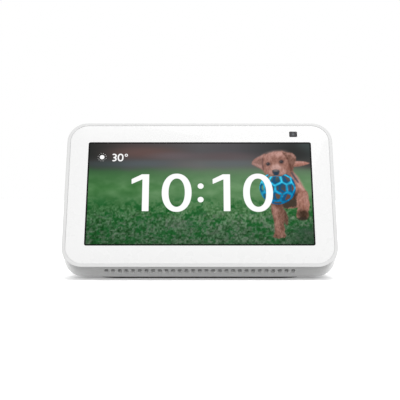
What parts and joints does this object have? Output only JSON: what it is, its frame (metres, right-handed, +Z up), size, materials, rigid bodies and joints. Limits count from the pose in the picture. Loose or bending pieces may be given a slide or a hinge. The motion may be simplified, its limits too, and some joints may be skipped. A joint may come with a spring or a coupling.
{
  "type": "smart display",
  "caption": "Desk-top smart display: a leaning white-bordered screen in a light grey casing with sound slots along its bottom wall, on a fabric-covered wedge body with a flat foot.",
  "frame": {"origin": "on the surface the object stands on, under the middle of its box", "axes": "+X to the right as a viewer of the screen sees it, -Y towards that viewer, +Z up"},
  "size_m": [0.148, 0.0729, 0.0857],
  "materials": {
    "casing_plastic": "fine moulded texture, light grey",
    "printed_glass": "gloss, white printed border around the screen window",
    "screen_glass": null,
    "dark_glass": "gloss, dark",
    "button_plastic": "fine moulded texture",
    "knit_fabric": "fine warp knit, light grey",
    "inner_plastic": "moulded",
    "rubber": "matt silicone",
    "steel": "stamped",
    "aluminium": "extruded",
    "circuit_board": "solder mask",
    "flex_cable": "polyimide film",
    "copper": "etched copper foil or enamelled wire",
    "cone_paper": "pressed pulp",
    "foam": "closed cell",
    "red_wire": "wire insulation"
  },
  "bodies": {
    "root": {"antenna_left": "copper", "antenna_right": "copper", "base_plate": "inner_plastic", "button_board": "circuit_board", "button_flex": "flex_cable", "camera_flex": "flex_cable", "camera_lens": "dark_glass", "camera_module": "inner_plastic", "camera_window": "dark_glass", "chassis_screw_1": "steel", "chassis_screw_2": "steel", "chassis_screw_3": "steel", "chassis_screw_4": "steel", "dc_jack": "inner_plastic", "dc_jack_pin": "steel", "display_flex": "flex_cable", "display_panel": "screen_glass", "display_tray": "steel", "fabric_cover": "knit_fabric", "front_frame": "casing_plastic", "front_panel": "printed_glass", "heat_sink": "aluminium", "main_board": "circuit_board", "mic_camera_off_switch": "steel", "microphone_left": "steel", "microphone_right": "steel", "mid_chassis": "inner_plastic", "port_bezel": "casing_plastic", "port_board": "circuit_board", "processor_shield": "steel", "radio_module": "steel", "rear_shell": "casing_plastic", "rubber_foot": "rubber", "service_port": "steel", "service_port_tongue": "inner_plastic", "speaker_basket": "steel", "speaker_enclosure": "inner_plastic", "speaker_gasket": "foam", "speaker_magnet": "steel", "speaker_surround": "rubber", "speaker_wire_negative": "inner_plastic", "speaker_wire_positive": "red_wire", "speaker_yoke": "steel", "volume_down_switch": "steel", "volume_up_switch": "steel"},
    "shutter": {"shutter_blade": "casing_plastic", "shutter_knob": "button_plastic"},
    "mic_camera_off": {"mic_camera_off_button": "button_plastic"},
    "volume_down": {"volume_down_button": "button_plastic"},
    "volume_up": {"volume_up_button": "button_plastic"},
    "cone": {"speaker_cone": "cone_paper", "voice_coil": "copper", "dust_cap": "cone_paper"}
  },
  "joints": [
    {"name": "mic_camera_off_press", "type": "slide", "parent": "root", "child": "mic_camera_off", "axis": [0, -0.4123, -0.911], "range_m": [0, 0.0005], "stiffness_N_per_m": 1500, "springref_m": -0.0002},
    {"name": "volume_down_press", "type": "slide", "parent": "root", "child": "volume_down", "axis": [0, -0.4123, -0.911], "range_m": [0, 0.0005], "stiffness_N_per_m": 1500, "springref_m": -0.0002},
    {"name": "volume_up_press", "type": "slide", "parent": "root", "child": "volume_up", "axis": [0, -0.4123, -0.911], "range_m": [0, 0.0005], "stiffness_N_per_m": 1500, "springref_m": -0.0002},
    {"name": "shutter_slide", "type": "slide", "parent": "root", "child": "shutter", "axis": [1, 0, 0], "range_m": [-0.007, 0]},
    {"name": "cone_travel", "type": "slide", "parent": "root", "child": "cone", "axis": [0, -0.911, 0.4123], "range_m": [-0.0008, 0.0008], "stiffness_N_per_m": 1200}
  ]
}
